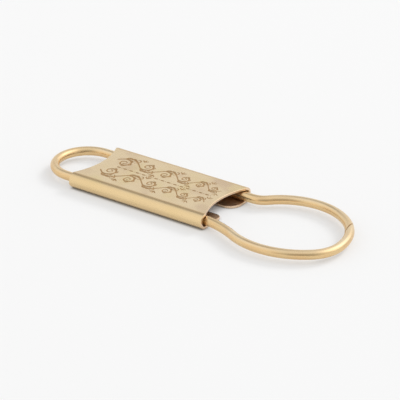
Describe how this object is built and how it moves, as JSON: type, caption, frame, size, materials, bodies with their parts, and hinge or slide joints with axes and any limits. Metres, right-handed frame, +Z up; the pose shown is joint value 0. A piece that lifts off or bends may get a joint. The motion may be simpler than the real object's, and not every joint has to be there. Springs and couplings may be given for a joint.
{
  "type": "keychain bottle opener",
  "caption": "Flat brass sheet sleeve that slides on a bent round wire with a small hanging loop and a large open loop; carries keys and lifts bottle caps.",
  "frame": {"origin": "on the surface the object lies on, under the centre of the small loop's half circle, from which it hangs", "axes": "+X along the wire's legs from the small loop to the big loop, +Y to the rear side, +Z up, out of the flat top plate"},
  "size_m": [0.1102, 0.0379, 0.0051],
  "materials": {
    "sheet_brass": "satin, lightly brushed, unlacquered",
    "wire_brass": "satin, drawn wire, unlacquered"
  },
  "bodies": {
    "ring": {"wire_ring": "wire_brass"},
    "slider": {"sleeve": "sheet_brass"}
  },
  "joints": [
    {"name": "sleeve_slide", "type": "slide", "parent": "ring", "child": "slider", "axis": [1, 0, 0], "range_m": [-0.015, 0.002]}
  ]
}
